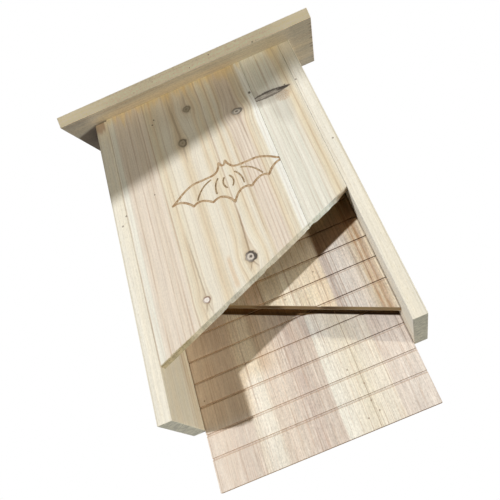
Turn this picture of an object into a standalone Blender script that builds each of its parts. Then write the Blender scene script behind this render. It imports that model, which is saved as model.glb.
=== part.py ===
"""Bat box: two roosting chambers between two side boards, under a sloping roof.

Units are metres and +Z is up, as the box hangs. The origin is on the wall plane, at the middle of
the back and level with the lower ends of the side boards. The front looks along -Y, and +X is to
the right of someone who faces the box.
"""

import math

import bmesh
import bpy

# Body: the side boards, and what lies between them
BODY_WIDTH = 0.264
BODY_DEPTH = 0.084
FRONT_HEIGHT = 0.3878
SIDE_THICKNESS = 0.015
LEFT_SIDE_SHORTFALL = 0.0015

# Front, glued up from two planks, with its lower edge cut on a slant
FRONT_THICKNESS = 0.0105
NARROW_PLANK_WIDTH = 0.052
FRONT_EDGE_LEFT = 0.0525
FRONT_EDGE_RIGHT = 0.156

# Partition between the chambers, with its lower edge cut the other way
FRONT_CHAMBER_DEPTH = 0.0305
PARTITION_THICKNESS = 0.0105
PARTITION_EDGE_LEFT = 0.1366
PARTITION_EDGE_RIGHT = 0.028
PASSAGE_HEIGHT = 0.020

# Back panel, which runs on below the sides as the landing board
BACK_THICKNESS = 0.006
LANDING_LENGTH = 0.063

# Saw grooves that the bats grip
GROOVE_PITCH = 0.0263
GROOVE_WIDTH = 0.0022
GROOVE_DEPTH = 0.0018
BACK_FIRST_GROOVE = 0.0337
PARTITION_FIRST_GROOVE = 0.0640
GROOVE_TOP_MARGIN = 0.010

# Roof
ROOF_THICKNESS = 0.014
ROOF_SIDE_OVERHANG = 0.032
ROOF_FRONT_OVERHANG = 0.0247
ROOF_SLOPE = math.radians(23.5)

# Brad nails
NAIL_LENGTH = 0.030
NAIL_RADIUS = 0.0006
NAIL_HEAD_RADIUS = 0.0010
NAIL_HEAD_THICKNESS = 0.0006
NAIL_POINT_LENGTH = 0.0018
NAIL_SINK = 0.0003
NAIL_SIDES = 12
NAIL_SMOOTH_ANGLE = math.radians(30)

# Keyhole slots in the rear edges of the side boards, for hanging on two screws
KEYHOLE_DROP = 0.045
KEYHOLE_HEAD_RADIUS = 0.0045
KEYHOLE_NECK_RADIUS = 0.0025
KEYHOLE_SLOT_RADIUS = 0.0042
KEYHOLE_TRAVEL = 0.012
KEYHOLE_LIP = 0.003
KEYHOLE_HEAD_DEPTH = 0.0095
KEYHOLE_SLOT_DEPTH = 0.009
KEYHOLE_SIDES = 24

# Clearances and finish
FIT_GAP = 0.0003
CUT_OVERRUN = 0.004
EDGE_EASE = 0.0007
EASE_SEGMENTS = 2

# Where nails sit, as shares of the height or depth that they are spread over
ROOF_NAIL_SHARES = (0.18, 0.50, 0.82)
FRONT_NAIL_SHARES = (0.12, 0.50, 0.88)
PARTITION_NAIL_SHARES = (0.25, 0.75)
BACK_NAIL_SHARES = (0.08, 0.42, 0.76)

# How far the back's lowest grooves stray from an even spacing, as shares of the pitch
BACK_GROOVE_STRAY_SHARES = (0.0, -0.08, 0.04, 0.04, 0.0)

# Colours as sRGB shares, with the roughness of sawn and planed softwood and of zinc-plated wire
SIDE_COLOUR = (0.86, 0.80, 0.66)
FRONT_COLOUR = (0.90, 0.84, 0.71)
ROOF_COLOUR = (0.80, 0.73, 0.58)
PANEL_COLOUR = (0.88, 0.80, 0.69)
NAIL_COLOUR = (0.62, 0.63, 0.64)
WOOD_ROUGHNESS = 0.72
NAIL_ROUGHNESS = 0.35

# Worked out from the sizes above
INNER_HALF_WIDTH = BODY_WIDTH / 2 - SIDE_THICKNESS
FRONT_FACE_Y = -BODY_DEPTH
FRONT_REAR_Y = FRONT_FACE_Y + FRONT_THICKNESS
PARTITION_FACE_Y = FRONT_REAR_Y + FRONT_CHAMBER_DEPTH
PARTITION_REAR_Y = PARTITION_FACE_Y + PARTITION_THICKNESS
BACK_FACE_Y = -BACK_THICKNESS
PANEL_HALF_WIDTH = INNER_HALF_WIDTH - FIT_GAP
SIDE_CENTRE_X = BODY_WIDTH / 2 - SIDE_THICKNESS / 2
SEAM_X = INNER_HALF_WIDTH - NARROW_PLANK_WIDTH
ROOF_WIDTH = BODY_WIDTH + 2 * ROOF_SIDE_OVERHANG
ROOF_LENGTH = (BODY_DEPTH + ROOF_FRONT_OVERHANG) / math.cos(ROOF_SLOPE)
SLOPED_GAP = FIT_GAP / math.cos(ROOF_SLOPE)


def roof_underside(y):
    """Height of the roof's lower face at the depth y."""
    return FRONT_HEIGHT + (y - FRONT_FACE_Y) * math.tan(ROOF_SLOPE)


def under_roof(x, y):
    """Height at which a board that meets the roof is cut."""
    return roof_underside(y) - SLOPED_GAP


def slanted_edge(x, left_height, right_height):
    """Height at x of a straight edge that runs between the side boards."""
    share = (x + INNER_HALF_WIDTH) / (2 * INNER_HALF_WIDTH)
    return left_height + share * (right_height - left_height)


def front_edge(x, y):
    return slanted_edge(x, FRONT_EDGE_LEFT, FRONT_EDGE_RIGHT)


def partition_edge(x, y):
    return slanted_edge(x, PARTITION_EDGE_LEFT, PARTITION_EDGE_RIGHT)


def clear_scene():
    for obj in list(bpy.data.objects):
        bpy.data.objects.remove(obj, do_unlink=True)


def finish(name, colour, roughness, metallic=0.0):
    """A plain material of the piece's own, from an sRGB colour."""
    material = bpy.data.materials.new(name + "_finish")
    material.use_nodes = True
    shader = material.node_tree.nodes["Principled BSDF"]
    linear = [c / 12.92 if c <= 0.04045 else ((c + 0.055) / 1.055) ** 2.4 for c in colour]
    shader.inputs["Base Color"].default_value = (*linear, 1.0)
    shader.inputs["Roughness"].default_value = roughness
    shader.inputs["Metallic"].default_value = metallic
    return material


def closed_mesh(name, bm):
    """Turn a bmesh into a mesh whose faces point out."""
    bmesh.ops.recalc_face_normals(bm, faces=bm.faces)
    mesh = bpy.data.meshes.new(name)
    bm.to_mesh(mesh)
    bm.free()
    return mesh


def new_object(name, bm, material=None):
    """Turn a bmesh into a named object in the scene."""
    mesh = closed_mesh(name, bm)
    obj = bpy.data.objects.new(name, mesh)
    bpy.context.scene.collection.objects.link(obj)
    if material:
        mesh.materials.append(material)
    return obj


def sawn_board(x0, x1, y0, y1, bottom, top):
    """A board with plumb faces, whose lower and upper cuts are heights at (x, y)."""
    bm = bmesh.new()
    corners = [(x0, y0), (x1, y0), (x1, y1), (x0, y1)]
    low = [bm.verts.new((x, y, bottom(x, y))) for x, y in corners]
    high = [bm.verts.new((x, y, top(x, y))) for x, y in corners]
    bm.faces.new(low)
    bm.faces.new(high)
    for i in range(4):
        j = (i + 1) % 4
        bm.faces.new((low[i], low[j], high[j], high[i]))
    return bm


def prism(outline, y0, y1):
    """A solid with an outline of (x, z) points, from y0 to y1."""
    bm = bmesh.new()
    near = [bm.verts.new((x, y0, z)) for x, z in outline]
    far = [bm.verts.new((x, y1, z)) for x, z in outline]
    bm.faces.new(near)
    bm.faces.new(far)
    for i in range(len(outline)):
        j = (i + 1) % len(outline)
        bm.faces.new((near[i], near[j], far[j], far[i]))
    return bm


def grooved_panel(face_y, rear_y, low, top_face, top_rear, groove_tops):
    """A panel between the side boards, with level grooves across its front: a section drawn out along X."""
    section = [(face_y, low)]
    for z in groove_tops:
        section += [
            (face_y, z - GROOVE_WIDTH),
            (face_y + GROOVE_DEPTH, z - GROOVE_WIDTH),
            (face_y + GROOVE_DEPTH, z),
            (face_y, z),
        ]
    section += [(face_y, top_face), (rear_y, top_rear), (rear_y, low)]
    bm = bmesh.new()
    left = [bm.verts.new((-PANEL_HALF_WIDTH, y, z)) for y, z in section]
    right = [bm.verts.new((PANEL_HALF_WIDTH, y, z)) for y, z in section]
    bm.faces.new(left)
    bm.faces.new(right)
    for i in range(len(section)):
        j = (i + 1) % len(section)
        bm.faces.new((left[i], left[j], right[j], right[i]))
    return bm


def groove_heights(first, limit, stray_shares=()):
    """Upper edges of the grooves, about one pitch apart, from the first up to the limit."""
    count = int((limit - first) / GROOVE_PITCH) + 1
    stray = list(stray_shares[:count]) + [0.0] * (count - len(stray_shares))
    return [first + (i + stray[i]) * GROOVE_PITCH for i in range(count)]


def turned(profile, sides):
    """A closed solid turned around Z from (radius, z) points that start and end on the axis."""
    bm = bmesh.new()
    rings = []
    for radius, z in profile:
        if radius == 0:
            rings.append([bm.verts.new((0, 0, z))])
            continue
        turns = [2 * math.pi * i / sides for i in range(sides)]
        rings.append([bm.verts.new((radius * math.cos(t), radius * math.sin(t), z)) for t in turns])
    for upper, lower in zip(rings, rings[1:]):
        for i in range(sides):
            j = (i + 1) % sides
            above = [upper[i % len(upper)], upper[j % len(upper)]]
            below = [lower[j % len(lower)], lower[i % len(lower)]]
            bm.faces.new(list(dict.fromkeys(above + below)))
    return bm


def nail_mesh():
    """A brad that points down, with the top of its head a little under the surface at z = 0."""
    top = -NAIL_SINK
    under_head = top - NAIL_HEAD_THICKNESS
    tip = top - NAIL_LENGTH
    profile = [
        (0, top),
        (NAIL_HEAD_RADIUS, top),
        (NAIL_HEAD_RADIUS, under_head),
        (NAIL_RADIUS, under_head),
        (NAIL_RADIUS, tip + NAIL_POINT_LENGTH),
        (0, tip),
    ]
    mesh = closed_mesh("nail", turned(profile, NAIL_SIDES))
    mesh.shade_smooth()
    mesh.set_sharp_from_angle(angle=NAIL_SMOOTH_ANGLE)
    return mesh


def nail_hole_mesh():
    """What the nail pushes aside, with the fit gap all round, open past the surface."""
    under_head = -NAIL_SINK - NAIL_HEAD_THICKNESS - FIT_GAP
    end = -NAIL_SINK - NAIL_LENGTH - FIT_GAP
    profile = [
        (0, CUT_OVERRUN),
        (NAIL_HEAD_RADIUS + FIT_GAP, CUT_OVERRUN),
        (NAIL_HEAD_RADIUS + FIT_GAP, under_head),
        (NAIL_RADIUS + FIT_GAP, under_head),
        (NAIL_RADIUS + FIT_GAP, end),
        (0, end),
    ]
    return closed_mesh("nail_hole", turned(profile, NAIL_SIDES))


def stadium(radius, z_low, z_high, centre_x, sides):
    """Outline of a slot with round ends, upright around centre_x, as (x, z) points."""
    points = []
    for z, start in ((z_high, 0.0), (z_low, math.pi)):
        for i in range(sides // 2 + 1):
            turn = start + math.pi * i / (sides // 2)
            points.append((centre_x + radius * math.cos(turn), z + radius * math.sin(turn)))
    return points


def round_outline(radius, z, centre_x, sides):
    turns = [2 * math.pi * i / sides for i in range(sides)]
    return [(centre_x + radius * math.cos(t), z + radius * math.sin(t)) for t in turns]


def hide_cutter(cutter):
    cutter.hide_render = True
    cutter.display_type = "WIRE"


def cut(board, cutter, label):
    """Take the cutter out of the board with an exact Boolean."""
    hide_cutter(cutter)
    modifier = board.modifiers.new(label, "BOOLEAN")
    modifier.operation = "DIFFERENCE"
    modifier.solver = "EXACT"
    modifier.object = cutter


def ease_edges(board):
    """Round the board's sawn corners a little, as sanding does."""
    modifier = board.modifiers.new("eased edges", "BEVEL")
    modifier.width = EDGE_EASE
    modifier.segments = EASE_SEGMENTS
    modifier.limit_method = "ANGLE"


def roof():
    """The roof board, drawn flat and tilted about its lower front edge."""
    half = ROOF_WIDTH / 2
    bm = sawn_board(-half, half, 0, ROOF_LENGTH, lambda x, y: 0, lambda x, y: ROOF_THICKNESS)
    board = new_object("roof_board", bm, finish("roof_board", ROOF_COLOUR, WOOD_ROUGHNESS))
    front_y = FRONT_FACE_Y - ROOF_FRONT_OVERHANG
    board.location = (0, front_y, roof_underside(front_y))
    board.rotation_euler = (ROOF_SLOPE, 0, 0)
    ease_edges(board)
    return board


def side_board(name, side, shortfall):
    """A side board: side is -1 on the left and 1 on the right."""
    edges = sorted((side * INNER_HALF_WIDTH, side * BODY_WIDTH / 2))
    bm = sawn_board(*edges, FRONT_FACE_Y, 0, lambda x, y: 0, lambda x, y: under_roof(x, y) - shortfall)
    board = new_object(name, bm, finish(name, SIDE_COLOUR, WOOD_ROUGHNESS))
    ease_edges(board)
    return board


def front_plank(name, x0, x1):
    bm = sawn_board(x0, x1, FRONT_FACE_Y, FRONT_REAR_Y, front_edge, under_roof)
    return new_object(name, bm, finish(name, FRONT_COLOUR, WOOD_ROUGHNESS))


def partition_top():
    return roof_underside(PARTITION_FACE_Y) - PASSAGE_HEIGHT


def partition():
    """The grooved partition, sawn along its slanted lower edge."""
    top = partition_top()
    low = min(PARTITION_EDGE_LEFT, PARTITION_EDGE_RIGHT) - CUT_OVERRUN
    grooves = groove_heights(PARTITION_FIRST_GROOVE, top - GROOVE_TOP_MARGIN)
    bm = grooved_panel(PARTITION_FACE_Y, PARTITION_REAR_Y, low, top, top, grooves)
    name = "partition_panel"
    panel = new_object(name, bm, finish(name, PANEL_COLOUR, WOOD_ROUGHNESS))
    wide = PANEL_HALF_WIDTH + CUT_OVERRUN
    outline = [
        (-wide, low - CUT_OVERRUN),
        (wide, low - CUT_OVERRUN),
        (wide, partition_edge(wide, 0)),
        (-wide, partition_edge(-wide, 0)),
    ]
    offcut = prism(outline, PARTITION_FACE_Y - CUT_OVERRUN, PARTITION_REAR_Y + CUT_OVERRUN)
    cut(panel, new_object("partition_offcut", offcut), "slanted lower edge")
    return panel


def back():
    """The grooved back panel, from the roof down to the end of the landing board."""
    low = -LANDING_LENGTH
    top_face, top_rear = under_roof(0, BACK_FACE_Y), under_roof(0, 0)
    grooves = groove_heights(low + BACK_FIRST_GROOVE, top_face - GROOVE_TOP_MARGIN, BACK_GROOVE_STRAY_SHARES)
    bm = grooved_panel(BACK_FACE_Y, 0, low, top_face, top_rear, grooves)
    return new_object("back_panel", bm, finish("back_panel", PANEL_COLOUR, WOOD_ROUGHNESS))


def cut_keyhole(board, side):
    """Rout a keyhole into the side board's rear edge: drop the screw head in, then let the box down."""
    centre_x = side * SIDE_CENTRE_X
    slot_top = roof_underside(0) - KEYHOLE_DROP
    entry_z = slot_top - KEYHOLE_TRAVEL
    label = board.name + "_keyhole"
    head = round_outline(KEYHOLE_HEAD_RADIUS, entry_z, centre_x, KEYHOLE_SIDES)
    neck = stadium(KEYHOLE_NECK_RADIUS, entry_z, slot_top, centre_x, KEYHOLE_SIDES)
    slot = stadium(KEYHOLE_SLOT_RADIUS, entry_z, slot_top, centre_x, KEYHOLE_SIDES)
    neck_end = -(KEYHOLE_LIP + KEYHOLE_SLOT_DEPTH) / 2
    head_cut = new_object(label + "_head_cut", prism(head, -KEYHOLE_HEAD_DEPTH, CUT_OVERRUN))
    slot_cut = new_object(label + "_slot_cut", prism(slot, -KEYHOLE_SLOT_DEPTH, -KEYHOLE_LIP))
    neck_cut = new_object(label + "_neck_cut", prism(neck, neck_end, CUT_OVERRUN))
    cut(board, head_cut, "keyhole head")
    cut(board, slot_cut, "keyhole slot")
    cut(board, neck_cut, "keyhole neck")


def spread(shares, low, high):
    return [low + share * (high - low) for share in shares]


def roof_nail_place(x, y):
    """Where a nail enters the roof's upper face, square above the underside at (x, y)."""
    rise = ROOF_THICKNESS * math.cos(ROOF_SLOPE)
    back_step = ROOF_THICKNESS * math.sin(ROOF_SLOPE)
    return (x, y - back_step, roof_underside(y) + rise)


def nail_places(side):
    """The turn of each kind of nail, and where each enters, on one side of the box.

    Those of the grooved panels go into the middle of the wood that the grooves leave.
    """
    face_x = side * BODY_WIDTH / 2
    inner_x = side * INNER_HALF_WIDTH
    square_to_roof = (ROOF_SLOPE, 0, 0)
    inward = (0, side * math.pi / 2, 0)
    roof_depths = spread(ROOF_NAIL_SHARES, FRONT_FACE_Y, 0)
    front_heights = spread(FRONT_NAIL_SHARES, front_edge(inner_x, 0), roof_underside(FRONT_FACE_Y))
    partition_heights = spread(PARTITION_NAIL_SHARES, partition_edge(inner_x, 0), partition_top())
    back_heights = spread(BACK_NAIL_SHARES, 0, roof_underside(0))
    front_y = (FRONT_FACE_Y + FRONT_REAR_Y) / 2
    partition_y = (PARTITION_FACE_Y + GROOVE_DEPTH + PARTITION_REAR_Y) / 2
    back_y = (BACK_FACE_Y + GROOVE_DEPTH) / 2
    return {
        "roof": (square_to_roof, [roof_nail_place(side * SIDE_CENTRE_X, y) for y in roof_depths]),
        "front": (inward, [(face_x, front_y, z) for z in front_heights]),
        "partition": (inward, [(face_x, partition_y, z) for z in partition_heights]),
        "back": (inward, [(face_x, back_y, z) for z in back_heights]),
    }


def drive_nails(prefix, places, rotation, boards, shape, hole):
    """Put a nail at each place, and cut its hole in every board that it goes through."""
    for number, place in enumerate(places, start=1):
        name = f"{prefix}_nail_{number}"
        nail = bpy.data.objects.new(name, shape.copy())
        nail.data.materials.append(finish(name, NAIL_COLOUR, NAIL_ROUGHNESS, metallic=1.0))
        cutter = bpy.data.objects.new(name + "_hole", hole)
        for obj in (nail, cutter):
            obj.location = place
            obj.rotation_euler = rotation
            bpy.context.scene.collection.objects.link(obj)
        for board in boards:
            cut(board, cutter, name)


def build():
    clear_scene()
    roof_board = roof()
    partition_panel = partition()
    back_panel = back()
    left_side = side_board("left_side_board", -1, LEFT_SIDE_SHORTFALL)
    right_side = side_board("right_side_board", 1, 0)
    wide_plank = front_plank("front_wide_plank", -PANEL_HALF_WIDTH, SEAM_X - FIT_GAP / 2)
    narrow_plank = front_plank("front_narrow_plank", SEAM_X + FIT_GAP / 2, PANEL_HALF_WIDTH)

    shape = nail_mesh()
    hole = nail_hole_mesh()
    for name, side, board, plank in (
        ("left", -1, left_side, wide_plank),
        ("right", 1, right_side, narrow_plank),
    ):
        nailed = {
            "roof": (roof_board, board),
            "front": (board, plank),
            "partition": (board, partition_panel),
            "back": (board, back_panel),
        }
        for kind, (rotation, places) in nail_places(side).items():
            drive_nails(f"{name}_{kind}", places, rotation, nailed[kind], shape, hole)
        cut_keyhole(board, side)


build()
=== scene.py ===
import math
from collections import namedtuple

import bmesh
import bpy
import numpy as np
from mathutils import Matrix, Vector


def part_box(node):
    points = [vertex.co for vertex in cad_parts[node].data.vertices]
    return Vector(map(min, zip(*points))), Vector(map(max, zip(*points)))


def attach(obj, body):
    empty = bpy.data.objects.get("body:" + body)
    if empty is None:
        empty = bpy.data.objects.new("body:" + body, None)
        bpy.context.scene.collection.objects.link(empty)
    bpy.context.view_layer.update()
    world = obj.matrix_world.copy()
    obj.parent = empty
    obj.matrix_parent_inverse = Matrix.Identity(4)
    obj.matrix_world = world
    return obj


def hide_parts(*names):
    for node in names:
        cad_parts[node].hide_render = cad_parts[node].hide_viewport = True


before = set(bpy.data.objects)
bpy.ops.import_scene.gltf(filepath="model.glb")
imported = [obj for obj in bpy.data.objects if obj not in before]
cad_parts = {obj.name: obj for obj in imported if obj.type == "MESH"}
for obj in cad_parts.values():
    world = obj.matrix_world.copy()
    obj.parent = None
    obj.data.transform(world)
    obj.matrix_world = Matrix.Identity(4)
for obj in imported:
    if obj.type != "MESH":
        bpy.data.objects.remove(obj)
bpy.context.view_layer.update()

MM = 0.001
BODY = "root"

# The roof's slope, as built
ROOF_SLOPE = math.radians(23.5)

# Places on the box in millimetres: the front face, the body's outer sides, the middle of a side board's
# thickness, and the seam between the two front planks
FRONT_FACE = round(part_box("front_wide_plank")[0].y / MM, 1)
BODY_HALF = round(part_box("right_side_board")[1].x / MM, 1)
SIDE_MIDDLE = round(sum(corner.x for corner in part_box("right_side_board")) / (2 * MM), 1)
SEAM = 65.0

# Wood tints as sRGB, as they look in plain light
TINTS = {
    "milk": (251, 250, 242),
    "chalk": (244, 241, 229),
    "mist": (236, 234, 221),
    "cream": (240, 233, 217),
    "straw": (237, 228, 207),
    "rose": (237, 225, 210),
    "blush": (233, 220, 203),
    "honey": (235, 221, 195),
    "sand": (229, 215, 190),
    "tan": (222, 204, 174),
    "bark": (172, 132, 98),
    "umber": (194, 168, 136),
}


def colour(tint):
    """Linear colour of a named tint, or of an sRGB triple from 0 to 255."""
    shares = [c / 255 for c in (TINTS[tint] if isinstance(tint, str) else tint)]
    return tuple(c / 12.92 if c <= 0.04045 else ((c + 0.055) / 1.055) ** 2.4 for c in shares) + (1.0,)


# The most stops that a colour ramp can have
RAMP_STOPS = 32


class Link:
    """A shader socket. Arithmetic on it adds Math nodes."""

    def __init__(self, tree, socket):
        self.tree = tree
        self.socket = socket

    def math(self, operation, *values):
        return self.tree.node("ShaderNodeMath", {"operation": operation}, dict(enumerate(values)))

    def __add__(self, other):
        return self.math("ADD", self, other)

    def __sub__(self, other):
        return self.math("SUBTRACT", self, other)

    def __rsub__(self, other):
        return self.math("SUBTRACT", other, self)

    def __mul__(self, other):
        return self.math("MULTIPLY", self, other)

    def __truediv__(self, other):
        return self.math("DIVIDE", self, other)

    def __rtruediv__(self, other):
        return self.math("DIVIDE", other, self)

    def __abs__(self):
        return self.math("ABSOLUTE", self)

    __radd__ = __add__
    __rmul__ = __mul__

    def fract(self):
        return self.math("FRACT", self)

    def exp(self):
        return self.math("EXPONENT", self)

    def root(self):
        return self.math("SQRT", self)

    def clamp(self):
        return self.tree.node("ShaderNodeClamp", {}, {0: self})

    def ramp_up(self, low, high):
        """0 below low, 1 above high, and smooth between; the other way round if low is above high."""
        sockets = {0: self, 1: min(low, high), 2: max(low, high), 3: float(low > high), 4: float(low <= high)}
        return self.tree.node("ShaderNodeMapRange", {"interpolation_type": "SMOOTHSTEP"}, sockets)

    def between(self, start, full, last, end):
        """0 up to start, 1 from full to last, and 0 again from end on."""
        return self.ramp_up(start, full) * self.ramp_up(end, last)


def line(across, centre, half, soft):
    """1 on a line at centre, and 0 outside it."""
    return abs(across - centre).ramp_up(half + soft, half)


def blot(x, z, centre_x, centre_z, half_x, half_z):
    """1 in the middle of an oval, falling off smoothly."""
    dx = (x - centre_x) * (1 / half_x)
    dz = (z - centre_z) * (1 / half_z)
    return (dx * dx + dz * dz).ramp_up(1.0, 0.2)


class Tree:
    """A node tree, whose nodes all come from one method."""

    def __init__(self, node_tree):
        self.nodes = node_tree.nodes
        self.links = node_tree.links

    def node(self, kind, settings=None, sockets=None, output=0):
        """Add a node: its settings first, then the values or links of its sockets."""
        node = self.nodes.new(kind)
        for name, value in (settings or {}).items():
            if name == "stops":
                self.set_stops(node.color_ramp, value)
            else:
                setattr(node, name, value)
        for key, value in (sockets or {}).items():
            self.feed(node, key, value)
        return Link(self, node.outputs[output])

    def feed(self, node, key, value):
        """Give a socket of a node its value or its link."""
        if isinstance(value, Link):
            self.links.new(value.socket, node.inputs[key])
        else:
            node.inputs[key].default_value = value

    @staticmethod
    def set_stops(ramp, stops):
        while len(ramp.elements) < len(stops):
            ramp.elements.new(0.5)
        for element, stop in zip(ramp.elements, stops):
            element.position = stop[0]
        for element, stop in zip(ramp.elements, stops):
            element.color = stop[1]

    def split(self, vector):
        """The three parts of a vector."""
        first = self.node("ShaderNodeSeparateXYZ", {}, {0: vector})
        return [Link(self, socket) for socket in first.socket.node.outputs]


class Finish(Tree):
    """A material under construction, with places in millimetres."""

    def __init__(self, name, roughness=0.72, specular=0.25):
        self.material = bpy.data.materials.new(name)
        self.material.use_nodes = True
        super().__init__(self.material.node_tree)
        self.shader = self.nodes["Principled BSDF"]
        self.feed(self.shader, "Roughness", roughness)
        self.feed(self.shader, "Specular IOR Level", specular)
        place = self.node("ShaderNodeTexCoord", output="Object")
        self.place = self.node("ShaderNodeVectorMath", {"operation": "SCALE"}, {0: place, "Scale": 1 / MM})
        self.facing = self.split(self.node("ShaderNodeTexCoord", output="Normal"))

    def noise(self, x, y, z, detail=2.0, roughness=0.5):
        """Noise about 0.5, at a point whose three parts are links or numbers."""
        point = self.node("ShaderNodeCombineXYZ", {}, {0: x, 1: y, 2: z})
        sockets = {"Vector": point, "Scale": 1.0, "Detail": detail, "Roughness": roughness}
        return self.node("ShaderNodeTexNoise", {"noise_dimensions": "3D"}, sockets, "Fac")

    def mix(self, share, first, second, blend="MIX"):
        settings = {"data_type": "RGBA", "blend_type": blend}
        return self.node("ShaderNodeMix", settings, {0: share, 6: first, 7: second}, 2)

    def stain(self, tint, share, stained, blend="MIX"):
        """Lay a share of a named tint, or of an sRGB triple, over a colour."""
        return self.mix(share, tint, colour(stained), blend)

    def shade(self, tint, strength):
        """Darken (below 1) or lighten a colour by a link."""
        return self.mix(1.0, tint, strength, "MULTIPLY")

    def bands(self, across, stops):
        """Colour by the place across the grain, from (millimetres, tint) stops."""
        if len(stops) > RAMP_STOPS:
            half = len(stops) // 2
            join = stops[half][0]
            parts = self.bands(across, stops[:half + 1]), self.bands(across, stops[half:])
            return self.mix(across.ramp_up(join - 0.02, join + 0.02), *parts)
        low, high = stops[0][0], stops[-1][0]
        shades = [((x - low) / (high - low), colour(tint)) for x, tint in stops]
        sockets = {0: (across - low) * (1 / (high - low))}
        return self.node("ShaderNodeValToRGB", {"stops": shades}, sockets)

    def done(self, tint, height, depth, roughness=None):
        """Feed the shader: colour, relief of the given depth in millimetres, and roughness."""
        self.feed(self.shader, "Base Color", tint)
        relief = {"Height": height, "Distance": depth * MM, "Strength": 1.0}
        self.feed(self.shader, "Normal", self.node("ShaderNodeBump", {}, relief))
        if roughness is not None:
            self.feed(self.shader, "Roughness", roughness)
        return self.material


# A round knot: its place, half width and half height, how hard it pushes the grain aside, the tint and
# strength of its ring, the tint and strength of its heart, and the strength of the dot in the middle
Knot = namedtuple("Knot", "x z half_x half_z push ring rim heart fill dot")
FRONT_KNOTS = (
    Knot(-16.0, 349.0, 5.2, 5.2, 0.5, (96, 88, 76), 0.35, (128, 120, 104), 0.55, 0.3),
    Knot(-33.0, 300.5, 5.0, 6.0, 0.6, (92, 82, 70), 0.70, (150, 140, 122), 0.50, 0.3),
    Knot(39.8, 312.8, 6.4, 4.4, 0.5, (88, 80, 72), 0.75, (214, 208, 198), 0.75, 0.8),
    Knot(-0.5, 124.3, 5.8, 5.8, 0.7, (74, 66, 60), 0.95, (218, 210, 202), 0.80, 0.9),
    Knot(-56.0, 98.6, 4.0, 3.8, 0.5, (122, 88, 68), 0.85, (250, 242, 236), 0.90, 0.1),
)

# How far round a knot the grain is bent, in half widths and half heights of the knot
KNOT_SPREAD = (2.4, 3.2)

# Dark grain lines that leave the knots: first point, last point, half width and strength
FRONT_PLUMES = (
    (-0.4, 129.0, 2.8, 200.0, 0.5, 0.62),
    (-0.8, 119.0, -6.0, 107.0, 0.4, 0.50),
    (-0.2, 119.0, 5.0, 109.0, 0.4, 0.46),
    (-56.0, 102.0, -59.5, 195.0, 0.4, 0.40),
    (-56.5, 95.0, -60.0, 83.0, 0.4, 0.40),
    (-55.5, 95.0, -53.0, 83.0, 0.3, 0.34),
    (-33.5, 306.0, -37.0, 387.0, 0.9, 0.40),
    (-33.0, 295.0, -34.0, 262.0, 0.8, 0.28),
    (40.0, 317.0, 41.0, 372.0, 0.5, 0.26),
    (39.5, 308.0, 42.0, 250.0, 0.5, 0.28),
    (-16.0, 355.0, -14.5, 387.0, 0.8, 0.24),
)

# Small dark specks on the front: place, half width and half height
FRONT_SPECKS = (
    (62.0, 332.0, 2.0, 2.4), (-58.4, 353.8, 1.2, 1.4), (-61.7, 347.0, 1.2, 1.4), (-80.4, 246.4, 1.0, 1.1),
    (104.0, 321.0, 1.5, 1.2),
)

# Tints across the two front planks, from left to right
FRONT_BANDS = (
    (-117, "cream"), (-115, "chalk"), (-110, "chalk"), (-107, "rose"), (-103, "blush"), (-96, "rose"),
    (-90, "rose"), (-85, "blush"), (-79, "blush"), (-73, "rose"), (-67, "straw"), (-61, "honey"),
    (-57, "straw"), (-50, "cream"), (-43, "cream"), (-37, "honey"), (-31, "sand"), (-26, "cream"),
    (-16, "cream"), (-11, "honey"), (-6, "straw"), (-2, "honey"), (3, "cream"), (8, "straw"),
    (12, "honey"), (18, "cream"), (23, "sand"), (27, "rose"), (30, "blush"), (35, "rose"), (42, "rose"),
    (47, "honey"), (52, "straw"), (56, "straw"), (59, "milk"), (64.6, "milk"), (65.2, "mist"),
    (72, "chalk"), (78, "mist"), (84, "mist"), (89, "chalk"), (94, "mist"), (100, "cream"),
    (105, (238, 226, 200)), (109, (230, 215, 186)), (113, "straw"), (117, "cream"),
)

# Tints along the front's sawn lower edge
EDGE_BANDS = (
    (-117, (200, 188, 158)), (-86, (200, 190, 160)), (-76, (227, 219, 197)), (-60, (226, 225, 209)),
    (-45, (222, 222, 212)), (-22, (232, 233, 225)), (0, (222, 222, 210)), (15, (228, 227, 216)),
    (30, (226, 220, 206)), (50, (234, 231, 217)), (60, (245, 250, 246)), (75, (236, 245, 240)),
    (94, (234, 244, 245)), (104, (202, 196, 184)), (117, (196, 186, 170)),
)

# Dark growth lines of the front: place, half width and strength
FRONT_LINES = (
    (-116.4, 0.4, 0.40), (-109.0, 0.3, 0.22), (-103.5, 0.3, 0.30), (-92.0, 0.3, 0.34), (-86.0, 0.2, 0.16),
    (-80.0, 0.3, 0.22), (-76.5, 0.3, 0.30), (-68.8, 0.5, 0.46), (-60.0, 0.4, 0.24), (-53.5, 0.3, 0.20),
    (-43.0, 0.3, 0.22), (-35.5, 0.3, 0.16), (-10.0, 0.4, 0.22), (1.2, 0.5, 0.42), (12.5, 0.4, 0.34),
    (16.5, 0.3, 0.18), (22.0, 0.4, 0.38), (27.5, 0.3, 0.30), (33.0, 0.3, 0.24), (37.0, 0.3, 0.30),
    (41.5, 0.4, 0.34), (46.0, 0.3, 0.30), (50.5, 0.3, 0.22), (54.5, 0.3, 0.32), (61.0, 0.2, 0.16),
    (70.0, 0.3, 0.16), (75.5, 0.2, 0.14), (80.5, 0.3, 0.18), (85.0, 0.4, 0.22), (91.5, 0.2, 0.16),
    (96.5, 0.4, 0.22), (102.5, 0.3, 0.24), (108.5, 0.4, 0.26),
)

# The long branch knot of the narrow plank: its middle, half its length and half its width
SPIKE_MIDDLE = (82.0, 317.1)
SPIKE_HALF = (28.0, 4.2)

# Small specks on the front edges of the side boards
LEFT_SPECKS = ((-124.0, 223.3), (-117.8, 234.5))
RIGHT_SPECKS = ((126.5, 220.4), (118.7, 321.4))

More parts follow.
